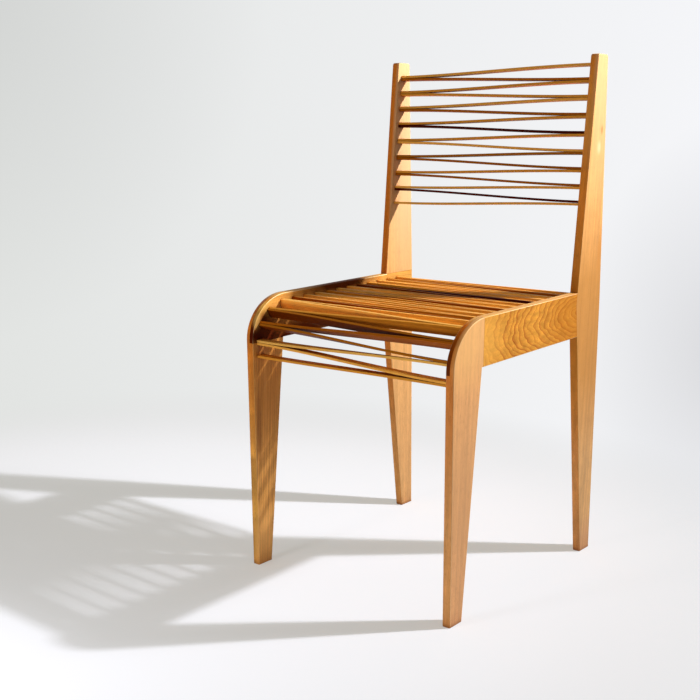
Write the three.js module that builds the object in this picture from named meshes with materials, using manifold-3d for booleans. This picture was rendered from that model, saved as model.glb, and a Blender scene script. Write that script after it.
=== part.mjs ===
// A side chair: two flat board frames held apart only by thin wooden laths set on edge.
// Millimetres, +Z up, the sitter looks along -Y, and X runs across the seat.
// The origin is on the floor under the middle of the chair's bounding box.
// Left and right are as seen by someone who stands in front of the chair.

import * as THREE from "three";
import { mergeVertices } from "three/addons/utils/BufferGeometryUtils.js";
import Module from "manifold-3d";

const wasm = await Module();
wasm.setup();

// Overall sizes and the boards
const chairWidth = 400;
const chairHeight = 830;
const boardThickness = 14;
const edgeRadius = 1.5;
const topCornerRadius = 3.5;
const gap = 0.3;

// Front leg, with its rounded knee
const footFrontY = -213.3;
const footLength = 30.7;
const kneeFrontY = -221.1;
const kneeDepth = 80;
const kneeHeight = 70;
const legBackTopY = -148.3;

// Seat rail
const railTopHeight = 454.5;
const railRise = 0.0178;
const railDepth = 73;
const railJointY = -146;

// Rear leg and back post in one bent board
const heelFrontY = 189.3;
const heelBackY = 221;
const bendFrontY = 128.8;
const bendBackY = 210.5;
const bendHeight = 440.5;
const topFrontY = 159.2;
const topBackY = 191.4;

// Laths
const lathThickness = 3.8;
const lathWidth = 15.5;
const lathSetBack = 9.3;
const rearSetBack = 7.8;
const lathSteps = 10;
const mortiseDepth = 5;

// Seat nodes, as distances along the laths' outer edges from where the knee begins to bend:
// first those in front and on the knee, then evenly back to the posts
const kneeNodesLeft = [-27, -4, 28, 58];
const kneeNodesRight = [-20, 10, 43, 76];
const firstFlatNode = 93;
const seatPitch = 28.5;
const flatNodeCount = 12;

// Back nodes, from the lowest one up, a little closer together towards both ends
const backNodeCount = 9;
const backPitch = 27.15;
const backSpread = 1.7;
const lowestBackNodeHeight = 587.2;

// Sizes worked out from the ones above
const innerX = chairWidth / 2 - boardThickness;
const lapPlane = boardThickness / 2;
const kneeCentreY = kneeFrontY + kneeDepth;
const kneeCentreZ = railTopHeight - kneeHeight;
const beyond = 20;

// Colours as the photograph shows them
const legWood = { color: 0xe0a468, roughness: 0.45, metalness: 0 };
const railWood = { color: 0xd5953f, roughness: 0.42, metalness: 0 };
const postWood = { color: 0xe6ab6c, roughness: 0.45, metalness: 0 };
const goldenWood = { color: 0xc98a45, roughness: 0.5, metalness: 0 };
const brownWood = { color: 0xa4662f, roughness: 0.5, metalness: 0 };
const darkWood = { color: 0x3a1a14, roughness: 0.5, metalness: 0 };
const darkSeatLaths = [10, 24, 25];
const brownSeatLaths = [6, 7, 16];
const darkBackLaths = [2, 10];

// Side frame outlines, drawn in y and z

function railTopAt(y) {
  return railTopHeight + railRise * (y - kneeCentreY);
}

function railBottomAt(y) {
  return railTopAt(y) - railDepth;
}

// Front edge of the rear leg below the bend and of the back post above it
function postFrontAt(z) {
  const target = z < bendHeight ? [heelFrontY, 0] : [topFrontY, chairHeight];
  const share = (z - bendHeight) / (target[1] - bendHeight);
  return bendFrontY + share * (target[0] - bendFrontY);
}

// Where the post's front edge meets a rail edge whose height is given for every y
function postCrossing(heightAt) {
  let y = bendFrontY;
  for (let round = 0; round < 8; round += 1) {
    y = postFrontAt(heightAt(y));
  }
  return [y, heightAt(y)];
}

// Draws to a corner of the outline and rounds it off with a short bend
function roundCorner(shape, corner, next, radius) {
  const last = shape.currentPoint.clone();
  const tip = new THREE.Vector2(...corner);
  const onward = new THREE.Vector2(...next);
  const start = tip.clone().add(last.sub(tip).setLength(radius));
  const end = tip.clone().add(onward.sub(tip).setLength(radius));
  const middle = start.clone().add(end).multiplyScalar(0.3).addScaledVector(tip, 0.4);
  for (const point of [start, middle, end]) {
    shape.lineTo(point.x, point.y);
  }
}

// Front leg, knee, rail, rear leg and post as one flat outline
function sideShape() {
  const shape = new THREE.Shape();
  shape.moveTo(footFrontY, 0);
  shape.lineTo(kneeFrontY, kneeCentreZ);
  shape.absellipse(kneeCentreY, kneeCentreZ, kneeDepth, kneeHeight, Math.PI, Math.PI / 2, true, 0);
  shape.lineTo(...postCrossing(railTopAt));
  roundCorner(shape, [topFrontY, chairHeight], [topBackY, chairHeight], topCornerRadius);
  roundCorner(shape, [topBackY, chairHeight], [bendBackY, bendHeight], topCornerRadius);
  shape.lineTo(bendBackY, bendHeight);
  shape.lineTo(heelBackY, 0);
  shape.lineTo(heelFrontY, 0);
  shape.lineTo(...postCrossing(railBottomAt));
  shape.lineTo(legBackTopY, railBottomAt(legBackTopY));
  shape.lineTo(footFrontY + footLength, 0);
  shape.closePath();
  return shape;
}

// Solids for cutting, with x from 0 at a board's inner face to its outer face

function toSolid(geometry) {
  const bare = geometry.clone();
  bare.deleteAttribute("normal");
  bare.deleteAttribute("uv");
  const merged = mergeVertices(bare, 1e-4);
  const vertProperties = new Float32Array(merged.attributes.position.array);
  const triVerts = new Uint32Array(merged.index.array);
  return new wasm.Manifold(new wasm.Mesh({ numProp: 3, vertProperties, triVerts }));
}

function toGeometry(solid) {
  const { vertProperties, triVerts } = solid.getMesh();
  const geometry = new THREE.BufferGeometry();
  geometry.setAttribute("position", new THREE.BufferAttribute(vertProperties, 3));
  geometry.setIndex(new THREE.BufferAttribute(triVerts, 1));
  geometry.computeVertexNormals();
  return geometry;
}

// Turns a shape drawn in y and z upright and gives it a thickness along x
function boardGeometry(shape, fromX, settings) {
  const geometry = new THREE.ExtrudeGeometry(shape, settings);
  const upright = new THREE.Matrix4().makeBasis(
    new THREE.Vector3(0, 1, 0),
    new THREE.Vector3(0, 0, 1),
    new THREE.Vector3(1, 0, 0),
  );
  geometry.applyMatrix4(upright);
  geometry.translate(fromX, 0, 0);
  return geometry;
}

function sideSolid() {
  const geometry = boardGeometry(sideShape(), edgeRadius, {
    depth: boardThickness - 2 * edgeRadius,
    bevelThickness: edgeRadius,
    bevelSize: edgeRadius,
    bevelOffset: -edgeRadius,
    bevelSegments: 2,
    curveSegments: 14,
  });
  return toSolid(geometry);
}

function block(corners, [fromX, toX]) {
  const shape = new THREE.Shape(corners.map(([y, z]) => new THREE.Vector2(y, z)));
  const geometry = boardGeometry(shape, fromX, { depth: toX - fromX, bevelEnabled: false });
  return toSolid(geometry);
}

// Boards of one side, lapped half and half where they meet

const wholeBoard = [-1, boardThickness + 1];
const innerSide = [-1, lapPlane + gap / 2];
const outerSide = [lapPlane - gap / 2, boardThickness + 1];
const frontEnd = kneeFrontY - beyond;
const backEnd = heelBackY + beyond;
const underFloor = -beyond;
const overTop = chairHeight + beyond;

// The stretch between two heights, each a function of y, from one y to another
function band(lowAt, highAt, fromY, toY) {
  return [
    [fromY, lowAt(fromY)],
    [toY, lowAt(toY)],
    [toY, highAt(toY)],
    [fromY, highAt(fromY)],
  ];
}

// Everything behind the post's front edge, moved forward by an amount
function behindPostFront(amount) {
  return [
    [postFrontAt(underFloor) - amount, underFloor],
    [backEnd, underFloor],
    [backEnd, overTop],
    [postFrontAt(overTop) - amount, overTop],
    [bendFrontY - amount, bendHeight],
  ];
}

const floorLevel = () => underFloor;
const topLevel = () => overTop;
const justUnderRail = (y) => railBottomAt(y) - gap;
const justOverRail = (y) => railTopAt(y) + gap;
const clearOverRail = (y) => railTopAt(y) + 1;

// The leg is whole below the rail, and only its outer half runs up over the knee
function legSolid(side) {
  const leg = block(band(floorLevel, topLevel, frontEnd, railJointY - gap), wholeBoard);
  const railLap = block(band(justUnderRail, topLevel, frontEnd, railJointY), innerSide);
  return side.intersect(leg).subtract(railLap);
}

// Only the rail's inner half runs forward to the knee's edge and back across the post
function railSolid(side) {
  const rail = block(band(railBottomAt, clearOverRail, frontEnd, backEnd), wholeBoard);
  const legLap = block(band(floorLevel, topLevel, frontEnd, railJointY), outerSide);
  const postLap = block(behindPostFront(gap), outerSide);
  const postAbove = block(band(railTopAt, topLevel, bendFrontY - 1, backEnd), wholeBoard);
  return side.intersect(rail).subtract(legLap).subtract(postLap).subtract(postAbove);
}

// The post is whole below and above the rail, and only its outer half crosses it
function postSolid(side) {
  const post = block(behindPostFront(0), wholeBoard);
  const railLap = block(band(justUnderRail, justOverRail, 0, backEnd), innerSide);
  return side.intersect(post).subtract(railLap);
}

// Lines that the outer edges of the laths follow, in y and z

function seatLine() {
  const frontY = kneeFrontY + lathSetBack;
  const legLean = (footFrontY - kneeFrontY) / kneeCentreZ;
  const drop = lathWidth - 2 * kneeNodesLeft[0];
  const line = new THREE.CurvePath();
  line.add(new THREE.LineCurve(
    new THREE.Vector2(frontY + legLean * drop, kneeCentreZ - drop),
    new THREE.Vector2(frontY, kneeCentreZ),
  ));
  line.add(new THREE.EllipseCurve(
    kneeCentreY,
    kneeCentreZ,
    kneeDepth - lathSetBack,
    kneeHeight - lathSetBack,
    Math.PI,
    Math.PI / 2,
    true,
  ));
  line.add(new THREE.LineCurve(
    new THREE.Vector2(kneeCentreY, railTopHeight - lathSetBack),
    new THREE.Vector2(heelBackY, railTopAt(heelBackY) - rearSetBack),
  ));
  return line;
}

function backLine() {
  const bend = new THREE.Vector2(bendFrontY, bendHeight);
  const top = new THREE.Vector2(topFrontY, chairHeight);
  const lean = top.clone().sub(bend).normalize();
  const inset = new THREE.Vector2(lean.y, -lean.x).multiplyScalar(lathSetBack);
  const line = new THREE.CurvePath();
  line.add(new THREE.LineCurve(bend.add(inset), top.add(inset)));
  return line;
}

// Two laths share a mortise at each node, and the right nodes stand between the left ones

function evenly(count, placeOf) {
  return Array.from({ length: count }, (_, k) => placeOf(k));
}

function seatNodes(line) {
  const bend = line.curves[0].getLength();
  const flatNode = (k) => firstFlatNode + k * seatPitch;
  const left = [...kneeNodesLeft, ...evenly(flatNodeCount, flatNode)];
  const right = [...kneeNodesRight, ...evenly(flatNodeCount, (k) => flatNode(k + 0.5))];
  return { left: left.map((node) => bend + node), right: right.map((node) => bend + node) };
}

function backNodes(line) {
  const [start, end] = [line.getPoint(0).y, line.getPoint(1).y];
  const lowest = (line.getLength() * (lowestBackNodeHeight - start)) / (end - start);
  const bunching = (k) => backSpread * Math.sin((2 * Math.PI * k) / (backNodeCount - 1));
  const left = evenly(backNodeCount, (k) => lowest + k * backPitch - bunching(k));
  return { left, right: left.map((node) => node + backPitch / 2) };
}

// Laths zigzag up a line: an even one rises to the right, an odd one to the left,
// and the first one is alone in its left mortise
function lathEnds(nodes, n) {
  const side = n % 2 === 0 ? 1 : -1;
  const shift = (side * (lathThickness + gap)) / 2;
  return {
    left: { distance: nodes.left[Math.ceil(n / 2)], shift: n === 0 ? 0 : shift },
    right: { distance: nodes.right[Math.floor(n / 2)], shift: -shift },
  };
}

// The unit vectors along a line and from the line into the board
function directions(line, distance) {
  const along = line.getTangent(distance / line.getLength());
  const inward = new THREE.Vector2(along.y, -along.x);
  return { along, inward };
}

// The four corners of the mortise for one lath end
function mortiseCorners(line, end) {
  const corner = line.getPoint(end.distance / line.getLength());
  const { along, inward } = directions(line, end.distance);
  const middle = corner.addScaledVector(along, end.shift).addScaledVector(inward, lathWidth / 2);
  const halfThick = lathThickness / 2 + gap;
  const halfWide = lathWidth / 2 + gap;
  return [[-1, 1], [1, 1], [1, -1], [-1, -1]].map(([a, b]) => {
    const point = middle.clone().addScaledVector(along, a * halfThick);
    point.addScaledVector(inward, b * halfWide);
    return [point.x, point.y];
  });
}

// A lath leaves both boards square and swings over in an S, twisting a little at the knee
function lathGeometry(line, { left, right }) {
  const reach = innerX + mortiseDepth - gap;
  const geometry = new THREE.BoxGeometry(2 * reach, lathThickness, lathWidth, lathSteps);
  const leftAlong = directions(line, left.distance).along;
  const rightAlong = directions(line, right.distance).along;
  const position = geometry.attributes.position;
  for (let v = 0; v < position.count; v += 1) {
    const x = position.getX(v);
    const swing = THREE.MathUtils.smoothstep(x, -innerX, innerX);
    const distance = THREE.MathUtils.lerp(left.distance, right.distance, swing);
    const along = leftAlong.clone().lerp(rightAlong, swing).normalize();
    const inward = new THREE.Vector2(along.y, -along.x);
    const point = line.getPoint(distance / line.getLength());
    point.addScaledVector(along, THREE.MathUtils.lerp(left.shift, right.shift, swing) + position.getY(v));
    point.addScaledVector(inward, lathWidth / 2 - position.getZ(v));
    position.setXYZ(v, x, point.x, point.y);
  }
  geometry.computeVertexNormals();
  return geometry;
}

// Assembly

function makeMesh(name, geometry, wood) {
  const mesh = new THREE.Mesh(geometry, new THREE.MeshStandardMaterial(wood));
  mesh.name = name;
  return mesh;
}

// Sets a geometry's middle at its own origin and the mesh where that middle was
function centred(mesh) {
  mesh.geometry.computeBoundingBox();
  mesh.geometry.boundingBox.getCenter(mesh.position);
  mesh.geometry.translate(-mesh.position.x, -mesh.position.y, -mesh.position.z);
  return mesh;
}

// Reflects a board for the left side and turns its faces outward again
function mirrored(geometry) {
  geometry.scale(-1, 1, 1);
  const index = geometry.index.array;
  for (let corner = 0; corner < index.length; corner += 3) {
    [index[corner + 1], index[corner + 2]] = [index[corner + 2], index[corner + 1]];
  }
  geometry.computeVertexNormals();
  return geometry;
}

function sideFrame(sideName, direction, mortises) {
  const side = sideSolid();
  const boards = [
    ["front_leg", legSolid(side), legWood],
    ["seat_rail", railSolid(side), railWood],
    ["back_post", postSolid(side), postWood],
  ];
  const frame = new THREE.Group();
  frame.position.x = direction * innerX;
  for (const [boardName, board, wood] of boards) {
    const geometry = toGeometry(board.subtract(mortises));
    const sided = direction < 0 ? mirrored(geometry) : geometry;
    frame.add(makeMesh(`${boardName}_${sideName}`, sided, wood));
  }
  return frame;
}

function lathSet(setName, line, nodes, woodOf) {
  const laths = new THREE.Group();
  const ends = evenly(nodes.left.length + nodes.right.length - 1, (n) => lathEnds(nodes, n));
  ends.forEach((pair, n) => {
    const number = String(n + 1).padStart(2, "0");
    laths.add(centred(makeMesh(`${setName}_${number}`, lathGeometry(line, pair), woodOf(n))));
  });
  const mortisesOn = (which) => ends.map((pair) => {
    return block(mortiseCorners(line, pair[which]), [-1, mortiseDepth]);
  });
  return { laths, left: mortisesOn("left"), right: mortisesOn("right") };
}

function seatWood(n) {
  if (darkSeatLaths.includes(n + 1)) {
    return darkWood;
  }
  return brownSeatLaths.includes(n + 1) ? brownWood : goldenWood;
}

function backWood(n) {
  return darkBackLaths.includes(n + 1) ? darkWood : goldenWood;
}

const joined = (solids) => solids.reduce((all, one) => all.add(one));

const seatEdge = seatLine();
const backEdge = backLine();
const seat = lathSet("seat_lath", seatEdge, seatNodes(seatEdge), seatWood);
const back = lathSet("back_lath", backEdge, backNodes(backEdge), backWood);

const chair = new THREE.Group();
chair.add(sideFrame("left", -1, joined([...seat.left, ...back.left])));
chair.add(sideFrame("right", 1, joined([...seat.right, ...back.right])));
chair.add(seat.laths, back.laths);

export default chair;
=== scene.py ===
# Looks for the side chair with zigzag laths: boards, laths, woods, studio and camera.
# Metres, +Z up, the sitter looks along -Y. Left and right are as seen from in front of the chair.

import math
import random

import bmesh
import bpy
from mathutils import Matrix, Vector


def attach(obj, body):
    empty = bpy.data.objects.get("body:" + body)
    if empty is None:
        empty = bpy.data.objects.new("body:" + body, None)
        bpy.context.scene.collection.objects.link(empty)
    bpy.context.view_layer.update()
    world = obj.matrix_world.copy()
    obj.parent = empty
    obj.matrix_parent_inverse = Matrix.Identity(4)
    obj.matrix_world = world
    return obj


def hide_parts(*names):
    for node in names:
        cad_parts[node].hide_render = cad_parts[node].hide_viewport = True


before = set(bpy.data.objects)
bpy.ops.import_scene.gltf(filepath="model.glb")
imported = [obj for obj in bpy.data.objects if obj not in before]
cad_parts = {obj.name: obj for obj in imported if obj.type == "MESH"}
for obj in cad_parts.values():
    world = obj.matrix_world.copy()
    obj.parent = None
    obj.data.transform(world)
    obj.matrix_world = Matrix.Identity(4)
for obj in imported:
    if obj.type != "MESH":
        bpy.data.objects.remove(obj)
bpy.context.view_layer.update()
print("frame loaded with", len(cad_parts), "pieces")

millimetre = 0.001


# Shader node helpers

def addNode(tree, kind, feeds, **options):
    node = tree.nodes.new("ShaderNode" + kind)
    for option, value in options.items():
        setattr(node, option, value)
    for socket, value in feeds.items():
        if isinstance(value, bpy.types.NodeSocket):
            tree.links.new(value, node.inputs[socket])
        else:
            node.inputs[socket].default_value = value
    return node


def calc(tree, operation, *values):
    return addNode(tree, "Math", dict(enumerate(values)), operation=operation).outputs[0]


def calcVector(tree, operation, *values):
    node = addNode(tree, "VectorMath", dict(enumerate(values)), operation=operation)
    return node.outputs["Value" if operation in ("LENGTH", "DISTANCE", "DOT_PRODUCT") else "Vector"]


def remap(tree, value, low, high, toLow=0.0, toHigh=1.0):
    feeds = {0: value, 1: low, 2: high, 3: toLow, 4: toHigh}
    return addNode(tree, "MapRange", feeds).outputs[0]


# A level that swings both ways round 1 while a pattern goes from 0 to 1
def swing(tree, pattern, spread):
    return remap(tree, pattern, 0, 1, 1 - spread, 1 + spread)


def noise(tree, place, scale, detail=2.0, output=0):
    feeds = {"Vector": place, "Scale": scale, "Detail": detail}
    return addNode(tree, "TexNoise", feeds).outputs[output]


def readAttribute(tree, name, output="Fac"):
    return addNode(tree, "Attribute", {}, attribute_name=name).outputs[output]


def mixColour(tree, share, first, second, blend="MIX"):
    node = addNode(tree, "Mix", {0: share, 6: first, 7: second}, data_type="RGBA", blend_type=blend)
    return node.outputs[2]


# Lays a plain tone over a colour
def paint(tree, share, colour, tone):
    return mixColour(tree, share, colour, (*tone, 1))


# Makes a colour darker or paler by one level
def dim(tree, colour, level):
    levels = addNode(tree, "CombineColor", {0: level, 1: level, 2: level}).outputs[0]
    return mixColour(tree, 1, colour, levels, "MULTIPLY")


# The figure of wood in millimetres: growth rings round a heart line, and streaks, fibres and
# pores that run along it

figureForm = {
    "waveAlong": 0.15,
    "ringDrift": 0.35,
    "lateWood": ((0.06, 0.0), (0.5, 0.1), (0.82, 0.55), (0.94, 1.0)),
    "lateWoodEnds": 0.45,
    "palestYear": 0.45,
    "clouds": {"along": 0.45, "scale": 0.11, "detail": 4, "range": (0.3, 0.7)},
    "patchRange": (0.36, 0.62),
    "streaks": {"along": 0.012, "scale": 0.16, "detail": 3, "range": (0.28, 0.72)},
    "fibres": {"along": 0.03, "scale": 1.3, "detail": 4, "range": (0.25, 0.75)},
    "pores": {"along": 0.07, "scale": 1.7, "detail": 1, "range": (0.62, 0.7)},
    "poresInLateWood": 0.3,
}

figureInputs = {
    "Place": "Vector",
    "Heart": "Vector",
    "Turn": "Vector",
    "Ring Width": "Float",
    "Wobble": "Float",
    "Wobble Size": "Float",
    "Soft": "Float",
    "Patchy": "Float",
}

figureOutputs = ("Rings", "Streaks", "Fibres", "Pores", "Clouds")


def grainNoise(tree, log, form):
    stretched = calcVector(tree, "MULTIPLY", log, (1, 1, form["along"]))
    return noise(tree, stretched, form["scale"], form["detail"])


# The late wood of one year: a sharp line at the year's end, or a soft band where soft is 1
def lateWoodBand(tree, season, soft):
    line = addNode(tree, "ValToRGB", {0: season})
    ramp = line.color_ramp
    ramp.interpolation = "EASE"
    for position, level in figureForm["lateWood"]:
        ramp.elements.new(position).color = (level, level, level, 1)
    level = figureForm["lateWoodEnds"]
    for end in (ramp.elements[0], ramp.elements[len(ramp.elements) - 1]):
        end.color = (level, level, level, 1)
    turn = calc(tree, "MULTIPLY", season, math.tau)
    band = calc(tree, "MULTIPLY_ADD", calc(tree, "COSINE", turn), -0.5, 0.5)
    return addNode(tree, "Mix", {0: soft, 2: line.outputs[0], 3: band}).outputs[0]


def makeWoodFigure():
    tree = bpy.data.node_groups.new("woodFigure", "ShaderNodeTree")
    for name, kind in figureInputs.items():
        tree.interface.new_socket(name, in_out="INPUT", socket_type="NodeSocket" + kind)
    for name in figureOutputs:
        tree.interface.new_socket(name, in_out="OUTPUT", socket_type="NodeSocketFloat")
    given = tree.nodes.new("NodeGroupInput").outputs
    result = tree.nodes.new("NodeGroupOutput").inputs

    # inside the log z runs along the grain
    turned = {"Vector": given["Place"], "Location": given["Heart"], "Rotation": given["Turn"]}
    log = addNode(tree, "Mapping", turned, vector_type="TEXTURE").outputs[0]

    stretched = calcVector(tree, "MULTIPLY", log, (1, 1, figureForm["waveAlong"]))
    wave = noise(tree, stretched, calc(tree, "DIVIDE", 1, given["Wobble Size"]), output=1)
    wave = calcVector(tree, "SUBTRACT", wave, (0.5, 0.5, 0.5))
    reach = addNode(tree, "CombineXYZ", {0: given["Wobble"], 1: given["Wobble"]}).outputs[0]
    bent = calcVector(tree, "MULTIPLY_ADD", wave, reach, log)
    radius = calcVector(tree, "LENGTH", calcVector(tree, "MULTIPLY", bent, (1, 1, 0)))

    # the rings differ a little in width and in how dark their late wood is
    years = calc(tree, "DIVIDE", radius, given["Ring Width"])
    feeds = {"W": years, "Scale": figureForm["ringDrift"], "Detail": 1}
    drift = addNode(tree, "TexNoise", feeds, noise_dimensions="1D").outputs[0]
    years = calc(tree, "ADD", years, drift)
    late = lateWoodBand(tree, calc(tree, "FRACT", years), given["Soft"])
    clouds = grainNoise(tree, log, figureForm["clouds"])
    tree.links.new(remap(tree, clouds, *figureForm["clouds"]["range"]), result["Clouds"])
    gaps = calc(tree, "SUBTRACT", 1, remap(tree, clouds, *figureForm["patchRange"]))
    broken = calc(tree, "MULTIPLY", gaps, given["Patchy"])
    late = calc(tree, "MULTIPLY", late, calc(tree, "SUBTRACT", 1, broken))
    feeds = {"W": calc(tree, "FLOOR", years)}
    year = addNode(tree, "TexWhiteNoise", feeds, noise_dimensions="1D").outputs[0]
    depth = remap(tree, year, 0, 1, figureForm["palestYear"], 1)
    tree.links.new(calc(tree, "MULTIPLY", late, depth), result["Rings"])

    for name in ("streaks", "fibres"):
        form = figureForm[name]
        pattern = remap(tree, grainNoise(tree, log, form), *form["range"])
        tree.links.new(pattern, result[name.capitalize()])
    form = figureForm["pores"]
    pores = remap(tree, grainNoise(tree, log, form), *form["range"])
    openness = remap(tree, late, 0, 1, 1, figureForm["poresInLateWood"])
    tree.links.new(calc(tree, "MULTIPLY", pores, openness), result["Pores"])
    return tree


woodFigure = makeWoodFigure()


# What only the boards have: end grain; narrow edges with painted shade, and painted light from the
# floor low down; painted highlights on upward faces and along the arrises; dirt round the feet; and
# spots, among them knots and painted shade, shadow and sheen

# where each begins and ends, by how far the surface faces a way, by height or by distance
boardBands = {
    "endGrain": (0.45, 0.95),
    "flatTop": (0.9, 0.99),
    "narrow": (0.3, 0.8),
    "arrisOut": (0.55, 0.78),
    "arrisIn": (0.92, 0.995),
    "scuff": (1, 7),
    "spot": (0.35, 1),
}


def finishBoardColour(tree, colour, wood, place, grain):
    normal = addNode(tree, "NewGeometry", {}).outputs["Normal"]
    facing = calc(tree, "ABSOLUTE", calcVector(tree, "DOT_PRODUCT", normal, grain))
    endGrain = remap(tree, facing, *boardBands["endGrain"], 0, wood["endGrain"])
    colour = paint(tree, endGrain, colour, wood["endColour"])

    # broad is 1 on the broad faces, 0 on the narrow edges, and in between on the rounded arrises
    turned = addNode(tree, "SeparateXYZ", {0: normal}).outputs
    broad = calc(tree, "ABSOLUTE", turned[0])
    flatTop = remap(tree, turned[2], *boardBands["flatTop"])
    narrow = remap(tree, broad, *boardBands["narrow"], 1, 0)
    narrow = calc(tree, "MULTIPLY", narrow, remap(tree, flatTop, 0, 1, 1, 0))
    # painted shade and light: the narrow edges take a darker, deeper tone high up as shade and
    # another tone low down, and the broad faces turn cooler low down, for light thrown up from the
    # floor
    height = addNode(tree, "SeparateXYZ", {0: place}).outputs[2]
    high = remap(tree, height, *wood["lowRange"])
    edges = mixColour(tree, high, (*wood["edgeShadeLow"], 1), (*wood["edgeShadeHigh"], 1))
    faces = mixColour(tree, high, (*wood["floorBounceTone"], 1), (1, 1, 1, 1))
    sides = mixColour(tree, narrow, faces, edges)
    colour = mixColour(tree, 1, colour, sides, "MULTIPLY")
    # painted highlight: faces that look straight up are painted paler, as where the lamp falls on
    # them
    colour = paint(tree, calc(tree, "MULTIPLY", flatTop, wood["litTopShare"]), colour, wood["litTopColour"])
    # painted highlight along the rounded arrises, where they catch the lamp
    arrisIn = remap(tree, broad, *boardBands["arrisIn"], 1, 0)
    arris = calc(tree, "MULTIPLY", remap(tree, broad, *boardBands["arrisOut"]), arrisIn)
    colour = paint(tree, calc(tree, "MULTIPLY", arris, wood["arrisHighlight"]), colour, wood["arrisHighlightColour"])

    scuff = remap(tree, height, *boardBands["scuff"], wood["scuff"], 0)
    colour = paint(tree, scuff, colour, wood["poreColour"])

    for spot, radii, tone, share in wood["spots"]:
        away = calcVector(tree, "DIVIDE", calcVector(tree, "SUBTRACT", place, spot), radii)
        near = remap(tree, calcVector(tree, "LENGTH", away), *boardBands["spot"], share, 0)
        colour = paint(tree, near, colour, tone)
    return colour


# The wood of boards and of laths

woodSurface = {
    # painted shade in the hollows, found by ambient occlusion, then roughness and bumps
    "creviceReach": 0.06,
    "creviceShadeTone": (0.42, 0.14, 0.03),
    "creviceSamples": 4,
    "smoother": 0.05,
    "rougher": 0.07,
    "poreRough": 0.2,
    "fibreHeight": 0.03,
    "ringHeight": 0.02,
    "poreHeight": -0.07,
    "bump": 0.5,
}


# Millimetres in the frame for a board, and for a lath in the straight strip it was bent from
def woodPlace(tree, isLath):
    if isLath:
        place = readAttribute(tree, "lathPlace", "Vector")
    else:
        place = addNode(tree, "TexCoord", {}).outputs["Object"]
    return calcVector(tree, "DIVIDE", place, (millimetre, millimetre, millimetre))


def makeWood(name, wood, isLath=False):
    material = bpy.data.materials.new(name)
    material.use_nodes = True
    tree = material.node_tree
    shader = tree.nodes["Principled BSDF"]
    grain = Vector(wood["grain"]).normalized()
    place = woodPlace(tree, isLath)
    feeds = {
        "Place": place,
        "Heart": wood["heart"],
        "Turn": grain.to_track_quat("Z", "Y").to_euler(),
        "Ring Width": wood["ringWidth"],
        "Wobble": wood["wobble"],
        "Wobble Size": wood["wobbleSize"],
        "Soft": wood["soft"],
        "Patchy": wood["patchy"],
    }
    figure = addNode(tree, "Group", feeds, node_tree=woodFigure)
    rings, streaks, fibres, pores, clouds = figure.outputs

    ringShare = calc(tree, "MULTIPLY", rings, wood["ringDepth"])
    colour = mixColour(tree, ringShare, (*wood["early"], 1), (*wood["late"], 1))
    shade = swing(tree, streaks, wood["streak"])
    shade = calc(tree, "MULTIPLY", shade, swing(tree, fibres, wood["fibre"]))
    shade = calc(tree, "MULTIPLY", shade, swing(tree, clouds, wood["cloud"]))
    if isLath:
        shade = calc(tree, "MULTIPLY", shade, readAttribute(tree, "lathTone"))
    colour = dim(tree, colour, shade)
    colour = paint(tree, calc(tree, "MULTIPLY", pores, wood["pore"]), colour, wood["poreColour"])
    if isLath:
        # painted highlight along the long narrow edges of the lath, where the lamp catches them
        rim = calc(tree, "MULTIPLY", readAttribute(tree, "lathRimHighlight"), wood["lathEdgeHighlightShare"])
        colour = paint(tree, rim, colour, wood["lathEdgeHighlight"])
    else:
        colour = finishBoardColour(tree, colour, wood, place, grain)

    # painted shade: the colour turns darker and deeper where little light reaches, between the laths
    # and under them
    feeds = {"Distance": woodSurface["creviceReach"]}
    crevice = addNode(tree, "AmbientOcclusion", feeds, samples=woodSurface["creviceSamples"])
    closed = remap(tree, crevice.outputs["AO"], *wood["creviceShadeRange"], 1, 0)
    deep = mixColour(tree, 1, colour, (*woodSurface["creviceShadeTone"], 1), "MULTIPLY")
    tree.links.new(mixColour(tree, closed, colour, deep), shader.inputs["Base Color"])

    smoothest = wood["rough"] - woodSurface["smoother"]
    rough = remap(tree, fibres, 0, 1, smoothest, wood["rough"] + woodSurface["rougher"])
    rough = calc(tree, "ADD", rough, calc(tree, "MULTIPLY", pores, woodSurface["poreRough"]))
    tree.links.new(rough, shader.inputs["Roughness"])
    height = calc(tree, "MULTIPLY", rings, woodSurface["ringHeight"])
    height = calc(tree, "MULTIPLY_ADD", fibres, woodSurface["fibreHeight"], height)
    height = calc(tree, "MULTIPLY_ADD", pores, woodSurface["poreHeight"], height)
    feeds = {"Strength": woodSurface["bump"], "Distance": millimetre, "Height": height}
    tree.links.new(addNode(tree, "Bump", feeds).outputs[0], shader.inputs["Normal"])
    shader.inputs["Specular IOR Level"].default_value = wood["gloss"]
    shader.inputs["Specular Tint"].default_value = (*wood["glossTint"], 1)
    return material


# Objects

def addObject(name, data):
    made = bpy.data.objects.new(name, data)
    bpy.context.collection.objects.link(made)
    return made


def addPiece(mesh, nodeName):
    piece = addObject(mesh.name, mesh)
    even = piece.modifiers.new("evenNormals", "WEIGHTED_NORMAL")
    even.keep_sharp = True
    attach(piece, "root")
    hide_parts(nodeName)
    return piece


# Boards of the side frames. A spot is its middle and radii in millimetres, its tone and its share

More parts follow.
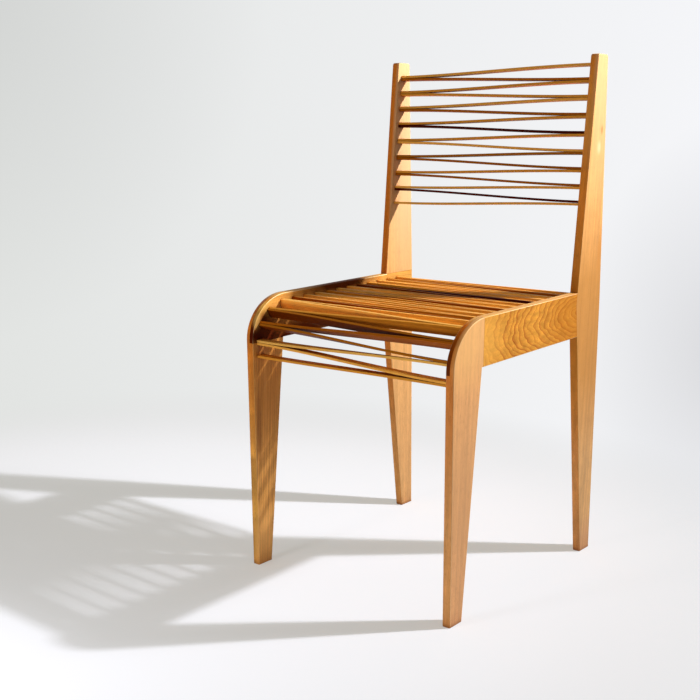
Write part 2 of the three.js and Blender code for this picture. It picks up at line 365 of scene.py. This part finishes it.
plainBoard = {
    "early": (0.62, 0.31, 0.12),
    "late": (0.46, 0.2, 0.06),
    "poreColour": (0.2, 0.06, 0.012),
    "ringWidth": 3.6,
    "ringDepth": 0.45,
    "wobble": 5,
    "wobbleSize": 45,
    "soft": 0.3,
    "patchy": 0.4,
    "streak": 0.15,
    "fibre": 0.14,
    "cloud": 0.07,
    "pore": 0.5,
    "endGrain": 0.75,
    "endColour": (0.13, 0.038, 0.008),
    # painted highlight on faces that look straight up
    "litTopShare": 0.6,  # how much faces that look straight up take litTopColour
    "litTopColour": (0.62, 0.35, 0.12),
    "rough": 0.46,
    "gloss": 0.35,
    "glossTint": (1, 0.72, 0.35),
    # painted shade on the narrow edges high and low, a painted highlight along the arrises, and
    # painted floor light on the broad faces low down
    "edgeShadeHigh": (0.92, 0.5, 0.11),
    "edgeShadeLow": (1.06, 0.98, 0.85),
    "arrisHighlight": 0.4,
    "arrisHighlightColour": (0.85, 0.55, 0.24),
    "lowRange": (150, 380),  # the low tones give way to the high ones between these heights
    "floorBounceTone": (0.94, 0.94, 1.05),
    "scuff": 0.6,  # dirt round the feet
    # painted shade in the hollows
    "creviceShadeRange": (0.1, 0.6),
    "spots": (),
}

boardWoods = {
    "front_leg_right": {
        **plainBoard,
        "heart": (230, -420, 0),
        "grain": (0, 0.02, 1),
        "arrisHighlight": 0.65,
        "arrisHighlightColour": (0.95, 0.68, 0.38),
        "spots": (
            ((200, -190, 430), (8, 70, 90), (0.74, 0.41, 0.14), 0.5),
            ((200, -190, 200), (8, 70, 130), (0.5, 0.26, 0.11), 0.35),
        ),
    },
    "front_leg_left": {
        **plainBoard,
        "heart": (-190, 60, 150),
        "grain": (0, 0.045, 1),
        "early": (0.82, 0.39, 0.088),
        "late": (0.1, 0.024, 0.002),
        "ringWidth": 5.5,
        "ringDepth": 1,
        "wobble": 3,
        "soft": 0.5,
        "patchy": 0.3,
        "pore": 0.75,
        "edgeShadeHigh": (0.84, 0.48, 0.11),
        "edgeShadeLow": (0.92, 0.94, 0.82),
        "spots": (
            ((-186, -190, 330), (14, 60, 170), (0.36, 0.11, 0.008), 0.6),
            ((-186, -195, 20), (14, 60, 90), (0.98, 0.52, 0.17), 0.5),
            ((-186, -209, 240), (10, 7, 75), (0.22, 0.06, 0.006), 0.6),
            ((-186, -193, 290), (10, 4, 110), (0.6, 0.26, 0.06), 0.5),
        ),
    },
    "seat_rail_right": {
        **plainBoard,
        "heart": (200, 165, 425),
        "grain": (-0.36, -1, 0.01),
        "early": (0.595, 0.265, 0.036),
        "late": (0.2, 0.006, 0.0002),
        "ringWidth": 5,
        "ringDepth": 1,
        "wobble": 16,
        "wobbleSize": 24,
        "soft": 0.15,
        "patchy": 0.1,
        "fibre": 0.16,
        "cloud": 0.16,
        "endGrain": 1,
        "gloss": 0.05,
        "arrisHighlight": 0.8,
        "arrisHighlightColour": (0.98, 0.74, 0.42),
        "spots": (
            # painted shade where the rail meets the post
            ((201, 120, 418), (8, 110, 90), (0.36, 0.11, 0.003), 0.5),
            ((201, -150, 418), (8, 75, 70), (0.72, 0.36, 0.07), 0.5),
        ),
    },
    "seat_rail_left": {
        **plainBoard,
        "heart": (-150, 0, 380),
        "grain": (0.1, -1, 0.05),
        "early": (0.66, 0.33, 0.075),
        "late": (0.34, 0.11, 0.015),
        "ringDepth": 0.8,
        "pore": 0.6,
        "endGrain": 1,
        "gloss": 0.02,
        "edgeShadeHigh": (0.98, 0.54, 0.07),
        "arrisHighlight": 0.9,
        "arrisHighlightColour": (1, 0.86, 0.5),
        "spots": (
            # painted light and shade: a lit knee top, the backrest's painted shadow along the top
            # edge, a lit band on the knee's inner face with painted shade beside it and below, and
            # the laths' painted shadow over the inner face under them
            ((-193, -200, 438), (16, 28, 24), (0.9, 0.52, 0.12), 0.75),
            ((-188, 0, 456), (26, 125, 23), (0.1, 0.013, 0.001), 0.95),
            ((-186, -210, 415), (8, 10, 21), (1, 0.62, 0.18), 0.8),
            ((-186, -194, 415), (8, 10, 17), (0.16, 0.025, 0.003), 0.75),
            ((-190, -213, 391), (14, 22, 15), (0.05, 0.004, 0.0005), 0.95),
            ((-186, -105, 368), (12, 150, 78), (0.075, 0.006, 0.0005), 0.97),
            ((-186, -190, 390), (12, 45, 55), (0.075, 0.006, 0.0005), 0.9),
        ),
    },
    "back_post_right": {
        **plainBoard,
        "heart": (120, 420, 400),
        "grain": (0, 0.03, 1),
        "early": (0.64, 0.31, 0.1),
        "late": (0.5, 0.21, 0.05),
        "ringWidth": 7,
        "ringDepth": 0.5,
        "soft": 0.7,
        "streak": 0.2,
        "cloud": 0.1,
        "edgeShadeHigh": (1.04, 0.68, 0.2),
        "edgeShadeLow": (0.92, 0.82, 0.78),
        "floorBounceTone": (0.86, 0.96, 1.15),
        "spots": (
            ((200, 170, 400), (60, 190, 220), (0.36, 0.14, 0.01), 0.7),
            # painted sheen, paler towards the top of the post
            ((200, 185, 850), (8, 90, 260), (0.62, 0.35, 0.17), 0.6),
            ((200, 183.5, 714.7), (8, 4, 9), (0.42, 0.14, 0.03), 0.85),
            ((200, 176.5, 688), (8, 8, 13), (0.85, 0.64, 0.4), 0.35),
            ((193, 151, 735), (14, 9, 120), (0.62, 0.28, 0.06), 0.5),
            ((200, 205, 10), (10, 40, 60), (0.42, 0.19, 0.09), 0.5),
            ((200, 197, 520), (8, 6, 45), (0.42, 0.15, 0.015), 0.6),
        ),
    },
    "back_post_left": {
        **plainBoard,
        "heart": (-300, 60, 400),
        "grain": (0.02, -0.02, 1),
        "early": (0.6, 0.32, 0.11),
        "ringWidth": 6,
        "soft": 0.6,
        "edgeShadeHigh": (1.02, 0.5, 0.06),
        "edgeShadeLow": (1, 0.85, 0.7),
        # painted sheen, a paler zone high on the inner face
        "spots": (((-186, 190, 700), (7, 80, 300), (0.58, 0.4, 0.22), 0.75),),
    },
}

boardFinish = {
    "weld": 0.00001,
    "flatDegrees": 0.5,
    "sharpDegrees": 50,
}


def makeBoard(nodeName):
    bm = bmesh.new()
    bm.from_mesh(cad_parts[nodeName].data)
    bmesh.ops.remove_doubles(bm, verts=bm.verts, dist=boardFinish["weld"])
    flat = math.radians(boardFinish["flatDegrees"])
    bmesh.ops.dissolve_limit(bm, angle_limit=flat, verts=bm.verts, edges=bm.edges)
    for face in bm.faces:
        face.smooth = True
    sharp = math.radians(boardFinish["sharpDegrees"])
    for edge in bm.edges:
        edge.smooth = edge.calc_face_angle(math.pi) < sharp
    mesh = bpy.data.meshes.new(nodeName + "_board")
    bm.to_mesh(mesh)
    bm.free()
    # what the CAD mesh brought along doesn't fit the joined faces
    for name in ("custom_normal", "material_index"):
        if name in mesh.attributes:
            mesh.attributes.remove(mesh.attributes[name])
    mesh.materials.append(makeWood(nodeName + "_wood", boardWoods[nodeName]))
    return addPiece(mesh, nodeName)


for nodeName in boardWoods:
    makeBoard(nodeName)
print("boards made:", len(boardWoods))


# Laths, each in one of a few woods

plainLath = {
    "heart": (0, 70, 40),
    "grain": (1, 0.004, 0.01),
    "poreColour": (0.13, 0.03, 0.003),
    "ringWidth": 2.6,
    "ringDepth": 0.45,
    "wobble": 2.5,
    "wobbleSize": 30,
    "soft": 0.5,
    "patchy": 0.3,
    "streak": 0.24,
    "fibre": 0.07,
    "cloud": 0.1,
    "pore": 0.25,
    "rough": 0.45,
    "gloss": 0.04,
    "glossTint": (1, 0.5, 0.15),
    "creviceShadeRange": (0.1, 0.45),
    # painted highlight along the lath rims
    "lathEdgeHighlight": (0.76, 0.36, 0.06),
    "lathEdgeHighlightShare": 0.25,
}

lathWoods = {
    "light": {
        **plainLath,
        "early": (0.9, 0.47, 0.09),
        "late": (0.58, 0.21, 0.02),
        "lathEdgeHighlight": (0.9, 0.52, 0.15),
    },
    "golden": {
        **plainLath,
        "early": (0.84, 0.4, 0.07),
        "late": (0.5, 0.17, 0.012),
    },
    "tan": {
        **plainLath,
        "early": (0.66, 0.245, 0.02),
        "late": (0.38, 0.095, 0.004),
        "lathEdgeHighlight": (0.75, 0.34, 0.05),
        "lathEdgeHighlightShare": 0.45,
    },
    "brown": {
        **plainLath,
        "early": (0.36, 0.09, 0.003),
        "late": (0.18, 0.032, 0.001),
        "lathEdgeHighlight": (0.46, 0.15, 0.01),
    },
    "umber": {
        **plainLath,
        "early": (0.15, 0.026, 0.001),
        "late": (0.06, 0.008, 0.0005),
        "lathEdgeHighlight": (0.5, 0.17, 0.01),
        "lathEdgeHighlightShare": 0.6,
    },
    "maroon": {
        **plainLath,
        "early": (0.06, 0.004, 0.001),
        "late": (0.025, 0.002, 0.0005),
        "gloss": 0.02,
        "lathEdgeHighlightShare": 0,
    },
}

# the laths that aren't golden, by their numbers
lathChoices = {
    "seat_lath": {
        "light": (3, 8, 9, 14, 18, 27),
        "tan": (1, 7, 11, 16, 24),
        "brown": (5, 10, 17, 29),
        "umber": (4, 6, 22),
        "maroon": (23,),
    },
    "back_lath": {
        "tan": (5, 9, 11, 14, 15),
        "brown": (4, 6, 12, 16),
        "umber": (7,),
        "maroon": (2, 10),
    },
}

lathShape = {
    "thickness": 0.0038,
    "width": 0.0155,
    "arris": 0.0004,
    # the rim's tone is a painted highlight
    "rimArrises": 0.6,  # how far the rim's tone reaches down the sides, in arrises
    "steps": 40,
    "seed": 11,
    "logSize": 0.06,
    "toneSpread": 0.12,
    "ringDigits": 4,  # corners of the CAD lath with the same rounded x are one ring
    "sameCorner": 0.0001,
}


def lathWood(nodeName):
    setName, number = nodeName.rsplit("_", 1)
    for wood, numbers in lathChoices[setName].items():
        if int(number) in numbers:
            return wood
    return "golden"


# The rings of a CAD lath from left to right: middle and directions of thickness and width
def lathRings(node):
    corners = {}
    for vertex in node.data.vertices:
        ringX = round(vertex.co.x, lathShape["ringDigits"])
        corners.setdefault(ringX, []).append(vertex.co.copy())
    rings = []
    for ringX in sorted(corners):
        points = corners[ringX]
        middle = Vector([(min(axis) + max(axis)) / 2 for axis in zip(*points)])
        sides = [point - points[0] for point in points]
        near, far = lathShape["sameCorner"], 2 * lathShape["thickness"]
        thick = next(side for side in sides if near < side.length < far).normalized()
        if thick.y + thick.z < 0:
            thick.negate()
        rings.append((middle, thick, Vector((0, thick.z, -thick.y))))
    return rings


# A smooth curve through four neighbouring values, from the second one to the third
def smoothBetween(a, b, c, d, t):
    square = (2 * a - 5 * b + 4 * c - d) * t * t
    cube = (3 * b - a - 3 * c + d) * t ** 3
    return 0.5 * (2 * b + (c - a) * t + square + cube)


def placeOnLath(rings, x, thick, wide):
    first, last = rings[0][0].x, rings[-1][0].x
    along = (x - first) / (last - first) * (len(rings) - 1)
    start = min(max(int(along), 0), len(rings) - 2)
    near = [rings[min(max(start + step, 0), len(rings) - 1)] for step in (-1, 0, 1, 2)]
    middle, thickWay, wideWay = (smoothBetween(*values, along - start) for values in zip(*near))
    place = middle + thickWay.normalized() * thick + wideWay.normalized() * wide
    place.x = x
    return place


# The lath as a straight strip with rounded arrises, cut across often enough to bend smoothly
def straightLath(nodeName, length):
    bm = bmesh.new()
    bmesh.ops.create_cube(bm, size=1)
    bmesh.ops.scale(bm, vec=(length, lathShape["thickness"], lathShape["width"]), verts=bm.verts)
    bmesh.ops.bevel(bm, geom=bm.edges[:], offset=lathShape["arris"], segments=2, profile=0.5,
                    affect="EDGES", material=-1, clamp_overlap=True)
    for step in range(1, lathShape["steps"]):
        cut = (step / lathShape["steps"] - 0.5) * length
        geometry = bm.verts[:] + bm.edges[:] + bm.faces[:]
        bmesh.ops.bisect_plane(bm, geom=geometry, plane_co=(cut, 0, 0), plane_no=(1, 0, 0))
    for face in bm.faces:
        face.smooth = True
    mesh = bpy.data.meshes.new(nodeName + "_lath")
    bm.to_mesh(mesh)
    bm.free()
    return mesh


def setAttribute(mesh, name, kind, key, values):
    mesh.attributes.new(name, kind, "POINT").data.foreach_set(key, values)


def makeLath(nodeName, woods, chance):
    rings = lathRings(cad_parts[nodeName])
    left, right = rings[0][0].x, rings[-1][0].x
    mesh = straightLath(nodeName, right - left)

    # each lath comes from its own place in the log, and is a little paler or darker
    shift = Vector([chance.uniform(-1, 1) * lathShape["logSize"] for _ in range(3)])
    tone = 1 + chance.uniform(-1, 1) * lathShape["toneSpread"]
    straight = [vertex.co.copy() for vertex in mesh.vertices]
    for vertex, place in zip(mesh.vertices, straight):
        vertex.co = placeOnLath(rings, place.x + (right + left) / 2, place.y, place.z)
    logPlaces = [value for place in straight for value in place + shift]
    setAttribute(mesh, "lathPlace", "FLOAT_VECTOR", "vector", logPlaces)
    # the rims take a painted highlight
    rimFrom = lathShape["width"] / 2 - lathShape["rimArrises"] * lathShape["arris"]
    rims = [float(abs(place.z) > rimFrom) for place in straight]
    setAttribute(mesh, "lathRimHighlight", "FLOAT", "value", rims)
    setAttribute(mesh, "lathTone", "FLOAT", "value", [tone] * len(straight))
    mesh.materials.append(woods[lathWood(nodeName)])
    return addPiece(mesh, nodeName)


woods = {name: makeWood(name + "_lath_wood", wood, isLath=True) for name, wood in lathWoods.items()}
chance = random.Random(lathShape["seed"])
lathNodes = [name for name in sorted(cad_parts) if "_lath_" in name]
for nodeName in lathNodes:
    makeLath(nodeName, woods, chance)
print("laths made:", len(lathNodes))


# Camera at the photograph's place

photoCamera = {
    "place": (1.023, -1.4606, 0.702),
    "yaw": 39.12,
    "tiltDown": 13.5,
    "roll": 0.26,
    "lens": 56.34,
    "shiftUp": 0.0715,
}


def makeCamera():
    data = bpy.data.cameras.new("camera")
    data.lens = photoCamera["lens"]
    data.shift_y = photoCamera["shiftUp"]
    camera = addObject("camera", data)
    yaw = Matrix.Rotation(math.radians(photoCamera["yaw"]), 4, "Z")
    tilt = Matrix.Rotation(math.radians(90 - photoCamera["tiltDown"]), 4, "X")
    roll = Matrix.Rotation(math.radians(photoCamera["roll"]), 4, "Z")
    camera.matrix_world = Matrix.Translation(photoCamera["place"]) @ yaw @ tilt @ roll
    bpy.context.scene.camera = camera


# A level direction to the right of the picture
def pictureRight():
    yaw = math.radians(photoCamera["yaw"])
    return Vector((math.cos(yaw), math.sin(yaw), 0))


# Backdrop, paler to the right of the picture, with two darker places: middle, radii, depth

backdrop = {
    "left": (0.765, 0.78, 0.765),
    "right": (0.915, 0.92, 0.945),
    "span": 0.3,
    "dips": (
        ((0.33, -0.18), (0.13, 0.2), 0.24),
        ((-0.32, 0.13), (0.25, 0.3), 0.16),
    ),
}


# 1 for rays that show the backdrop: straight from the camera, by a reflection or through glass
def shownRays(tree):
    rays = addNode(tree, "LightPath", {}).outputs
    shown = calc(tree, "MAXIMUM", rays["Is Camera Ray"], rays["Is Glossy Ray"])
    return calc(tree, "MAXIMUM", shown, rays["Is Transmission Ray"])


def backdropColour(tree, towards):
    level = calcVector(tree, "NORMALIZE", calcVector(tree, "MULTIPLY", towards, (1, 1, 0)))
    across = calcVector(tree, "DOT_PRODUCT", level, pictureRight())
    share = remap(tree, across, -backdrop["span"], backdrop["span"])
    colour = mixColour(tree, share, (*backdrop["left"], 1), (*backdrop["right"], 1))
    rise = addNode(tree, "SeparateXYZ", {0: calcVector(tree, "NORMALIZE", towards)}).outputs[2]
    spot = addNode(tree, "CombineXYZ", {0: across, 1: rise}).outputs[0]
    for middle, radii, depth in backdrop["dips"]:
        away = calcVector(tree, "SUBTRACT", spot, (*middle, 0))
        away = calcVector(tree, "LENGTH", calcVector(tree, "DIVIDE", away, (*radii, 1)))
        colour = dim(tree, colour, remap(tree, away, 0, 1, 1 - depth, 1))
    return colour


# Pale floor that fades into the backdrop. The camera sees it lit by the lamps with a glow added,
# and colour is what it throws back at the chair

floorFinish = {
    "radius": 14,
    "sides": 128,
    "colour": (0.87, 0.865, 0.85),
    "shownLeft": (0.58, 0.592, 0.665),
    "shownRight": (0.535, 0.547, 0.61),
    "shownSpan": 0.55,
    "glow": (0.31, 0.31, 0.28),
    "deepRange": (-0.1, 0.65),
    "deepLevel": (1.02, 1.1),
    "fadeCentre": (-0.35, -0.3, 0),
    "fadeFrom": 0.7,
    "fadeTo": 1.3,
}


def shownFloor(tree, place):
    across = calcVector(tree, "DOT_PRODUCT", place, pictureRight())
    across = remap(tree, across, -floorFinish["shownSpan"], floorFinish["shownSpan"])
    colour = mixColour(tree, across, (*floorFinish["shownLeft"], 1), (*floorFinish["shownRight"], 1))
    deep = calcVector(tree, "DOT_PRODUCT", place, pictureRight().cross((0, 0, -1)))
    level = remap(tree, deep, *floorFinish["deepRange"], *floorFinish["deepLevel"])
    lit = addNode(tree, "BsdfDiffuse", {"Color": dim(tree, colour, level)}).outputs[0]
    glow = {"Color": (*floorFinish["glow"], 1), "Strength": level}
    glow = addNode(tree, "Emission", glow).outputs[0]
    return addNode(tree, "AddShader", {0: lit, 1: glow}).outputs[0]


def makeFloor():
    bm = bmesh.new()
    sides, radius = floorFinish["sides"], floorFinish["radius"]
    bmesh.ops.create_circle(bm, cap_ends=True, segments=sides, radius=radius)
    mesh = bpy.data.meshes.new("floor")
    bm.to_mesh(mesh)
    bm.free()
    material = bpy.data.materials.new("pale_floor")
    material.use_nodes = True
    tree = material.node_tree
    tree.nodes.remove(tree.nodes["Principled BSDF"])
    place = addNode(tree, "TexCoord", {}).outputs["Object"]
    away = calcVector(tree, "DISTANCE", place, floorFinish["fadeCentre"])
    fade = {0: away, 1: floorFinish["fadeFrom"], 2: floorFinish["fadeTo"]}
    far = addNode(tree, "MapRange", fade, interpolation_type="SMOOTHSTEP").outputs[0]
    hidden = addNode(tree, "BsdfDiffuse", {"Color": (*floorFinish["colour"], 1)}).outputs[0]
    towards = calcVector(tree, "SUBTRACT", place, Vector(photoCamera["place"]))
    behind = addNode(tree, "Emission", {"Color": backdropColour(tree, towards)}).outputs[0]
    shown = addNode(tree, "MixShader", {0: far, 1: shownFloor(tree, place), 2: behind}).outputs[0]
    mixed = addNode(tree, "MixShader", {0: shownRays(tree), 1: hidden, 2: shown}).outputs[0]
    tree.links.new(mixed, tree.nodes["Material Output"].inputs["Surface"])
    mesh.materials.append(material)
    floor = addObject("floor", mesh)


# Warm fill from the world, a key light with a softer one at the same place, and a weak front one

fill = {
    "level": 0.3,
    "colour": (1, 0.93, 0.84),
}

lamps = {
    "key": {
        "place": (1.342, 1.007, 1.704),
        "aim": (-1.7, -1.2, 0.34),
        "size": 0.075,
        "power": 21.5,
        "spread": 88,
    },
    "softKey": {
        "place": (1.342, 1.007, 1.704),
        "aim": (-1.7, -1.2, 0.34),
        "size": 0.28,
        "power": 5,
        "spread": 88,
    },
    "front": {
        "place": (-0.25, -1.25, 0.3),
        "aim": (0, 0, 0.3),
        "size": 0.2,
        "power": 3.3,
        "spread": 180,
    },
}


def makeWorld():
    world = bpy.data.worlds.new("studio")
    world.use_nodes = True
    bpy.context.scene.world = world
    tree = world.node_tree
    light = Vector(fill["colour"]) * fill["level"]
    direction = addNode(tree, "TexCoord", {}).outputs["Generated"]
    colour = mixColour(tree, shownRays(tree), (*light, 1), backdropColour(tree, direction))
    tree.links.new(colour, tree.nodes["Background"].inputs["Color"])


def makeLamp(name, lamp):
    light = bpy.data.lights.new(name, "AREA")
    light.shape = "DISK"
    light.size = lamp["size"]
    light.energy = lamp["power"]
    light.spread = math.radians(lamp["spread"])
    made = addObject(name, light)
    place = Vector(lamp["place"])
    made.location = place
    made.rotation_euler = (Vector(lamp["aim"]) - place).to_track_quat("-Z", "Y").to_euler()


makeFloor()
makeWorld()
for name, lamp in lamps.items():
    makeLamp(name, lamp)
print("studio made")

makeCamera()
bpy.context.scene.view_settings.view_transform = "Standard"
